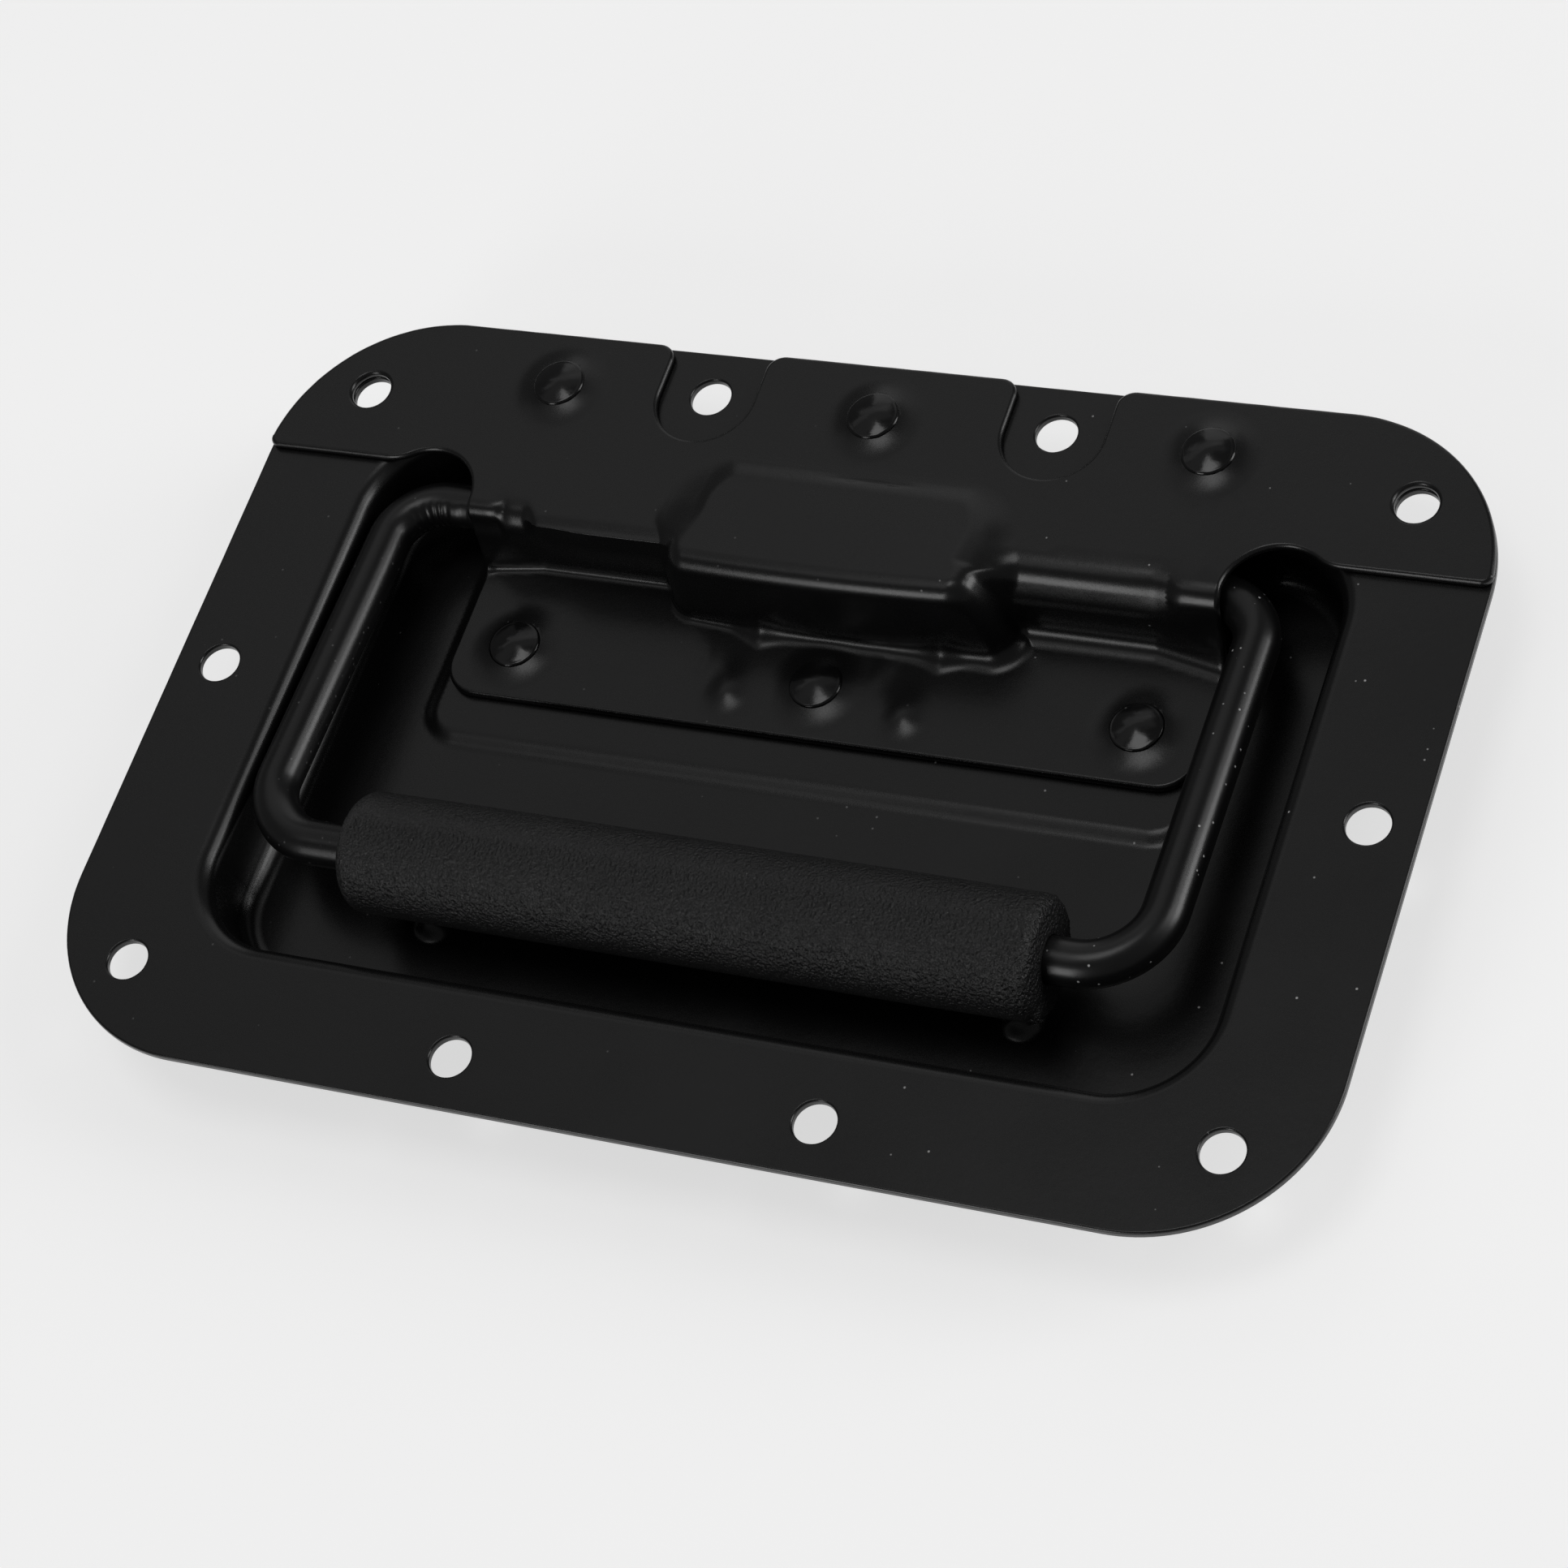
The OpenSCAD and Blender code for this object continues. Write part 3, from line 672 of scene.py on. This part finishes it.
def build_bail(material):
    def half(sign):
        pts = [(1.5, 0), (1.62, 0), (1.8, 0), (2.0, 0)]
        pts += [(x, 0) for x in np.arange(3.0, 48.0, 1.2)]
        pts += [(x, 0) for x in np.arange(48.3, HALF - 7.1, 0.3)]
        for a in np.radians(np.linspace(90, 0, 61)):
            pts.append((HALF - 7 + 7 * math.cos(a), -7 + 7 * math.sin(a)))
        pts += [(HALF, y) for y in np.arange(-8.2, -LEG + 9.6, -1.2)]
        for a in np.radians(np.linspace(0, -90, 33)):
            pts.append((HALF - 9 + 9 * math.cos(a), -LEG + 9 + 9 * math.sin(a)))
        pts += [(x, -LEG) for x in np.arange(HALF - 9 - 1.2, 0.5, -1.2)]
        return [np.array([sign * x, y, 0.0]) for x, y in pts]
    left, right = half(-1), half(1)
    path = np.array(left + right[::-1])
    radii = np.full(len(path), 3.0)
    for i, r in ((0, 2.55), (1, 2.7), (2, 2.88)):
        radii[i] = radii[-1 - i] = r

    def shape(centre, ring, a):
        # bending leaves the rod a touch flat outside the bends and creased inside
        k = np.ones(ring.shape[:2])
        for sx in (-1, 1):
            for cx, cy, rad, kink in ((HALF - 7, -7, 7, 0.05), (HALF - 9, -LEG + 9, 9, 0.10 if sx < 0 else 0.03)):
                d = centre[:, :2] - (sx * cx, cy)
                here = np.abs(np.hypot(d[:, 0], d[:, 1]) - rad) < 0.05
                mid = np.abs(np.degrees(np.arctan2(np.abs(d[:, 1]), d[:, 0] * sx)) - 45)
                w = here * bell(mid, 26)
                out = np.column_stack([unit(d), np.zeros(len(d))])
                c = (ring * out[:, None]).sum(2)
                k += w[:, None] * (kink * np.clip(-c, 0, 1) ** 2 - 0.02 * np.clip(c, 0, 1) ** 2)
                if sx < 0 and cy == -7:
                    # small wrinkles inside the left bend at the hinge
                    turn = np.degrees(np.arctan2(np.abs(d[:, 1]), d[:, 0] * sx))
                    wave = np.where(turn < 54, (turn - 36) * 20, (turn - 54) * 30)
                    fold = (0.5 - 0.5 * np.cos(np.radians(wave))) * (turn > 36) * here
                    straight = (np.abs(centre[:, 1]) < 1e-6) & (centre[:, 0] < -47)
                    for at, w in ((-54.5, 0.35), (-51.9, 0.4), (-51.2, 0.3)):
                        fold = fold + straight * bell(centre[:, 0] - at, w)
                    lower = -(ring * np.array([0.0, 1.0, 0.0])).sum(2)
                    inner = np.where(straight[:, None], -lower, c)
                    k -= fold[:, None] * 0.045 * smooth(-inner, 0.35, 0.95)
        return k
    v, f = sweep(path, radii, 56, up=(0, 0, 1), shape=shape)
    v = from_bail(v)
    f = [t[::-1] for t in f]
    ob = make("bail_rod_whole", v, f, None, material)
    # cross holes for the springs' tangs
    for k, x in enumerate((-5.9, 5.9)):
        cv, cf = lathe([(0, -5), (0.9, -5), (0.9, 5), (0, 5)], 28)
        cv = from_bail(np.column_stack([cv[:, 0] + x, cv[:, 2], cv[:, 1]]))
        cut = make(f"cutter_{k}", cv, cf)
        m = ob.modifiers.new(f"hole_{k}", "BOOLEAN")
        m.object, m.operation, m.solver = cut, "DIFFERENCE", "EXACT"
    bpy.context.view_layer.update()
    done = ob.evaluated_get(bpy.context.evaluated_depsgraph_get())
    mesh = bpy.data.meshes.new_from_object(done)
    mesh.name = "bail_rod"
    mesh.set_sharp_from_angle(angle=math.radians(40))
    final = bpy.data.objects.new("bail_rod", mesh)
    bpy.context.scene.collection.objects.link(final)
    for o in [ob] + [o for o in bpy.data.objects if o.name.startswith("cutter_")]:
        bpy.data.objects.remove(o)
    return final


def build_grip(material):
    """The moulded sleeve: slightly barrelled, soft left end, rough right end."""
    length, radius, x0 = 95.6, 8.0, -45.8
    prof = [(0.15, 3.02)]  # (x along, radius)
    prof += [(0.0, 3.25), (0.0, 3.9), (0.0, 4.6), (0.02, 5.3)]
    for a in np.linspace(0, 90, 13):
        t = math.radians(a)
        prof.append((2.2 - 2.2 * math.cos(t), 5.8 + 2.2 * math.sin(t)))
    prof += [(x, 8.0) for x in np.linspace(2.8, length - 6.0, 130)]
    prof += [(x, 8.0) for x in np.linspace(length - 5.7, length - 1.8, 14)]
    for a in np.linspace(90, 0, 13):
        t = math.radians(a)
        prof.append((length - 1.5 + 1.5 * math.cos(t), 6.5 + 1.5 * math.sin(t)))
    prof += [(length - 0.01, 6.2), (length, 5.6), (length, 4.9), (length, 4.1), (length, 3.25), (length - 0.15, 3.02)]
    n = 200
    v, f = lathe([(r, x) for x, r in prof] + [(3.02, x) for x in np.linspace(length - 1, 1, 20)] + [(3.02, 0.15)], n)
    # close the bore onto the first ring
    last = len(v) - n
    v = v[:last]
    f = [tuple(i - last if i >= last else i for i in t) for t in f]
    x, r = v[:, 2], np.hypot(v[:, 0], v[:, 1])
    out = v[:, :2] / r[:, None]
    skin = smooth(r, 6.5, 7.6)
    p = np.column_stack([x, v[:, 0], v[:, 1]])
    dr = -0.10 * smooth(np.abs(x - length / 2), 30, 48) * skin
    dr += 0.035 * wobble(p, 14.0, 3.3) * skin
    # roughness round the right end, and a torn nub low on its front
    rough = smooth(x, length - 3.4, length - 1.2) * smooth(r, 5.4, 6.6)
    dr += rough * (0.20 * wobble(p, 0.8, 8.1) + 0.08 * wobble(p, 2.4, 1.7) - 0.05)
    nub = bell(np.degrees(np.arctan2(v[:, 1], v[:, 0])) + 158, 5.0) * bell(x - length + 0.8, 0.9) * smooth(r, 5.0, 6.5)
    dr += nub * (0.45 + 0.5 * wobble(p, 0.6, 2.9))
    v[:, :2] += out * dr[:, None]
    v[:, 2] -= rough * (0.10 + 0.14 * np.abs(wobble(p, 1.1, 5.5))) * (1 - nub) - 0.35 * nub
    v = np.column_stack([v[:, 2] + x0, v[:, 0] - LEG, v[:, 1]])
    return make("grip_sleeve", from_bail(v), f, None, material, smooth_angle=60)


def build_spring(name, sign, material):
    """Wire from its tang in the rod, round four coils, to its leg on the floor."""
    coil_r, pitch, turns, wire = 3.95, 1.7, 4, 1.4
    end = 360 * (turns - 1) + 235
    path = [(0, y, 0) for y in np.linspace(-2.4, coil_r - 1.1, 9)]
    path += [(0, coil_r - 1.1 * (1 - math.sin(a)), 1.1 * (1 - math.cos(a))) for a in np.radians(np.arange(12, 86, 12))]

    def coil(a):
        t = math.radians(a)
        return np.array([pitch * a / 360, coil_r * math.cos(t), coil_r * math.sin(t)])
    path += [coil(a) for a in np.arange(20, end + 0.1, 9)]
    t = math.radians(end)
    way = np.array([pitch / (2 * math.pi), -coil_r * math.sin(t), coil_r * math.cos(t)])
    way /= np.linalg.norm(way)
    drop = (PIVOT[2] + coil(end)[2] - PLATFORM_Z - wire / 2 - 0.1) / -way[2]
    path += [coil(end) + way * d for d in np.linspace(0, drop, 6)]
    path = np.array([np.array(q, float) for q in path])
    keep = [0] + [i for i in range(1, len(path)) if np.linalg.norm(path[i] - path[i - 1]) > 0.05]
    path = path[keep]
    v, f = sweep(path, np.full(len(path), wire / 2), 18)
    v = v + (5.9, 0, 0)
    if sign < 0:
        v = v * (-1, 1, 1)
        f = [t[::-1] for t in f]
    return make(name, v + PIVOT, f, None, material, smooth_angle=50)


# ---------------------------------------------------------------------------
# Materials
# ---------------------------------------------------------------------------
def new_material(name):
    mat = bpy.data.materials.new(name)
    mat.use_nodes = True
    nt = mat.node_tree
    nt.nodes.clear()
    out = nt.nodes.new("ShaderNodeOutputMaterial")
    bsdf = nt.nodes.new("ShaderNodeBsdfPrincipled")
    nt.links.new(bsdf.outputs[0], out.inputs["Surface"])
    coord = nt.nodes.new("ShaderNodeTexCoord")
    return mat, nt, bsdf, coord.outputs["Object"]


def tex_noise(nt, where, scale, detail=3.0, rough=0.5):
    n = nt.nodes.new("ShaderNodeTexNoise")
    n.inputs["Scale"].default_value = scale
    n.inputs["Detail"].default_value = detail
    n.inputs["Roughness"].default_value = rough
    nt.links.new(where, n.inputs["Vector"])
    return n.outputs["Fac"]


def spread(nt, value, lo, hi, to_lo, to_hi):
    m = nt.nodes.new("ShaderNodeMapRange")
    for k, x in zip(("From Min", "From Max", "To Min", "To Max"), (lo, hi, to_lo, to_hi)):
        m.inputs[k].default_value = x
    nt.links.new(value, m.inputs["Value"])
    return m.outputs["Result"]


def math_node(nt, op, a, b):
    m = nt.nodes.new("ShaderNodeMath")
    m.operation = op
    for i, x in enumerate((a, b)):
        if hasattr(x, "links"):
            nt.links.new(x, m.inputs[i])
        else:
            m.inputs[i].default_value = x
    return m.outputs[0]


def mix(nt, fac, a, b):
    m = nt.nodes.new("ShaderNodeMix")
    m.data_type = "RGBA"
    if hasattr(fac, "links"):
        nt.links.new(fac, m.inputs["Factor"])
    else:
        m.inputs["Factor"].default_value = fac
    for key, x in (("A", a), ("B", b)):
        socket = [s for s in m.inputs if s.name == key and s.type == "RGBA"][0]
        if hasattr(x, "links"):
            nt.links.new(x, socket)
        else:
            socket.default_value = (*x, 1)
    return [s for s in m.outputs if s.type == "RGBA"][0]


def specks(nt, where, scale, share, size):
    """Sparse round dust specks: 1 on a speck."""
    v = nt.nodes.new("ShaderNodeTexVoronoi")
    v.inputs["Scale"].default_value = scale
    nt.links.new(where, v.inputs["Vector"])
    dot = spread(nt, v.outputs["Distance"], size * 0.5, size, 1.0, 0.0)
    sep = nt.nodes.new("ShaderNodeSeparateColor")
    nt.links.new(v.outputs["Color"], sep.inputs[0])
    pick = spread(nt, sep.outputs[0], 1 - share, 1 - share + 0.001, 0.0, 1.0)
    return math_node(nt, "MULTIPLY", dot, pick)


def bump(nt, bsdf, layers):
    """Stacked bumps: (height, depth in metres)."""
    last = None
    for height, depth in layers:
        b = nt.nodes.new("ShaderNodeBump")
        b.inputs["Strength"].default_value = 1.0
        b.inputs["Distance"].default_value = depth
        nt.links.new(height, b.inputs["Height"])
        if last is not None:
            nt.links.new(last, b.inputs["Normal"])
        last = b.outputs["Normal"]
    nt.links.new(last, bsdf.inputs["Normal"])


def paint(name, colour, rough, grain=0.0000035, dust=0.022, seed=0.0):
    """Satin black paint on steel: orange peel, patchy gloss, specks of dust."""
    mat, nt, bsdf, where = new_material(name)
    cloud = tex_noise(nt, where, 55 + seed, 4)
    peel = tex_noise(nt, where, 900, 2, 0.45)
    fine = tex_noise(nt, where, 4200, 2, 0.6)
    col = mix(nt, spread(nt, cloud, 0.3, 0.7, 0, 1), [c * 0.85 for c in colour], [c * 1.15 for c in colour])
    # more of it has settled towards the right front
    dots = specks(nt, where, 900, dust, 0.17)
    place = nt.nodes.new("ShaderNodeSeparateXYZ")
    nt.links.new(where, place.inputs[0])
    dots = math_node(nt, "MULTIPLY", dots, spread(nt, place.outputs[0], 0.0, 0.05, 0.15, 1.0))
    col = mix(nt, dots, col, (0.55, 0.55, 0.55))
    nt.links.new(col, bsdf.inputs["Base Color"])
    r = spread(nt, cloud, 0.3, 0.7, rough - 0.025, rough + 0.025)
    r2 = spread(nt, fine, 0.3, 0.7, -0.02, 0.02)
    nt.links.new(math_node(nt, "ADD", r, r2), bsdf.inputs["Roughness"])
    bsdf.inputs["IOR"].default_value = 1.5
    bump(nt, bsdf, [(peel, grain * 3), (fine, grain)])
    return mat


def moulded(name):
    """Moulded sleeve: dull black with a fine leathery grain and sparse pale specks."""
    mat, nt, bsdf, where = new_material(name)
    warp = tex_noise(nt, where, 2100, 2)
    v = nt.nodes.new("ShaderNodeTexVoronoi")
    v.inputs["Scale"].default_value = 2200
    v.feature = "SMOOTH_F1"
    nt.links.new(where, v.inputs["Vector"])
    cells = v.outputs["Distance"]
    grain = tex_noise(nt, where, 3400, 2, 0.6)
    cloud = tex_noise(nt, where, 70, 3)
    col = mix(nt, spread(nt, cloud, 0.3, 0.7, 0, 1), (0.0085, 0.0085, 0.0088), (0.0135, 0.0135, 0.0137))
    dots = specks(nt, where, 1000, 0.02, 0.12)
    col = mix(nt, dots, col, (0.16, 0.16, 0.16))
    nt.links.new(col, bsdf.inputs["Base Color"])
    nt.links.new(spread(nt, grain, 0.3, 0.7, 0.28, 0.42), bsdf.inputs["Roughness"])
    bsdf.inputs["IOR"].default_value = 1.5
    bump(nt, bsdf, [(warp, 0.00022), (cells, 0.00023), (grain, 0.00023)])
    return mat


def wire_steel(name):
    mat, nt, bsdf, where = new_material(name)
    cloud = tex_noise(nt, where, 300, 4)
    draw = tex_noise(nt, where, 2600, 2)
    nt.links.new(mix(nt, cloud, (0.16, 0.16, 0.17), (0.34, 0.34, 0.35)), bsdf.inputs["Base Color"])
    nt.links.new(spread(nt, cloud, 0.3, 0.7, 0.28, 0.42), bsdf.inputs["Roughness"])
    bsdf.inputs["Metallic"].default_value = 1.0
    bump(nt, bsdf, [(draw, 0.000006)])
    return mat


sheet_paint = paint("satin_black_sheet", (0.0055, 0.0055, 0.0057), 0.275)
rod_paint = paint("smooth_black_rod", (0.0055, 0.0055, 0.0057), 0.30, grain=0.000002, dust=0.26, seed=9)
rivet_paint = paint("glossy_black_rivet", (0.004, 0.004, 0.0042), 0.16, grain=0.000004, dust=0.01, seed=4)
sleeve = moulded("grained_black_sleeve")
steel = wire_steel("spring_wire_steel")

# ---------------------------------------------------------------------------
# Pieces
# ---------------------------------------------------------------------------
dish = build_dish(sheet_paint)
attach(dish, "frame"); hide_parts("dish")
cover = build_cover(sheet_paint)
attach(cover, "frame"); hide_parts("hinge_cover")
for k, (x, y) in enumerate(FLANGE_RIVETS):
    o = build_rivet(f"flange_rivet_{('left', 'middle', 'right')[k]}", x, y, SHEET + 0.7, 1.0 + k, rivet_paint)
    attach(o, "frame"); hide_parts("flange_rivets")
for k, (x, y) in enumerate(FLOOR_RIVETS):
    o = build_rivet(f"floor_rivet_{('left', 'middle', 'right')[k]}", x, y, FOOT_Z + 0.7, 5.0 + k, rivet_paint)
    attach(o, "frame"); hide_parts("floor_rivets")
bail = build_bail(rod_paint)
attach(bail, "bail"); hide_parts("bail")
grip = build_grip(sleeve)
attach(grip, "bail"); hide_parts("grip")
for name, sign in (("spring_left", -1), ("spring_right", 1)):
    o = build_spring(name + "_wire", sign, steel)
    y, z = PIVOT[1], PIVOT[2] + RAISE
    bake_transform(o)
    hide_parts(name)

# ---------------------------------------------------------------------------
# Floor, light, camera
# ---------------------------------------------------------------------------
floor_mesh = bpy.data.meshes.new("floor")
floor_mesh.from_pydata([(-3, -3, 0), (3, -3, 0), (3, 3, 0), (-3, 3, 0)], [], [(0, 1, 2, 3)])
floor = bpy.data.objects.new("floor", floor_mesh)
floor.location.z = -0.0002
bpy.context.scene.collection.objects.link(floor)
mat, nt, bsdf, where = new_material("pale_floor")
nt.links.new(mix(nt, tex_noise(nt, where, 3, 2), (0.60, 0.60, 0.60), (0.62, 0.62, 0.62)), bsdf.inputs["Base Color"])
bsdf.inputs["Roughness"].default_value = 0.8
bsdf.inputs["Emission Color"].default_value = (1, 1, 1, 1)
bsdf.inputs["Emission Strength"].default_value = 0.62
bsdf.inputs["Specular IOR Level"].default_value = 0.1
floor_mesh.materials.append(mat)

scene = bpy.context.scene
world = bpy.data.worlds.new("studio")
scene.world = world
world.use_nodes = True
world.node_tree.nodes["Background"].inputs["Color"].default_value = (1, 1, 1, 1)
world.node_tree.nodes["Background"].inputs["Strength"].default_value = 0.10


def softbox(name, height, bearing, spread_deg, radiance, distance=2.0):
    """A rectangular area light at the given height and bearing (degrees, from +X
    towards +Y) that is spread_deg wide and high to either side, as the object sees it."""
    data = bpy.data.lights.new(name, "AREA")
    data.shape = "RECTANGLE"
    data.size, data.size_y = [2 * distance * math.tan(math.radians(a)) for a in spread_deg]
    # radiance L leaves an area light of power P = L * pi * area
    data.energy = radiance * math.pi * data.size * data.size_y
    ob = bpy.data.objects.new(name, data)
    e, a = math.radians(height), math.radians(bearing)
    d = Vector((math.cos(e) * math.cos(a), math.cos(e) * math.sin(a), math.sin(e)))
    ob.location = d * distance + Vector((0, 0, 0.01))
    ob.rotation_mode = "QUATERNION"
    ob.rotation_quaternion = d.to_track_quat("Z", "Y")
    scene.collection.objects.link(ob)
    return ob


softbox("rear_low_box", 22, 103, (15, 14), 0.46)
softbox("rear_side_box", 42, 119, (19, 5), 0.30)
softbox("rear_mid_box", 50.5, 126, (25, 4), 0.31)
softbox("rear_high_box", 63, 134, (28, 8.5), 0.145)
softbox("over_box", 84, 165, (11, 10), 2.3)
softbox("front_high_box", 61, 212, (8, 8), 0.62)
softbox("front_low_box", 15, 250, (9, 15), 3.9)
softbox("right_low_box", 13, 23, (12, 12), 4.4)
softbox("right_high_box", 37, 26, (11, 9), 2.2)

cam_data = bpy.data.cameras.new("camera")
cam_data.sensor_width = 36
cam_data.lens = 36 * 5272.847 / 1932
cam_data.clip_start, cam_data.clip_end = 0.01, 20
cam = bpy.data.objects.new("camera", cam_data)
scene.collection.objects.link(cam)
right = Vector((0.90517664, 0.31334054, -0.28718105))
up = Vector((-0.13120699, 0.84865936, 0.51240805))
back = Vector((0.4042771, -0.42613964, 0.8092991))
turn = Matrix((right, up, back)).transposed().to_4x4()
turn.translation = Vector((0.22195, -0.23411, 0.44683))
cam.matrix_world = turn
scene.camera = cam
scene.view_settings.view_transform = "Standard"
scene.view_settings.look = "None"

bpy.context.view_layer.update()
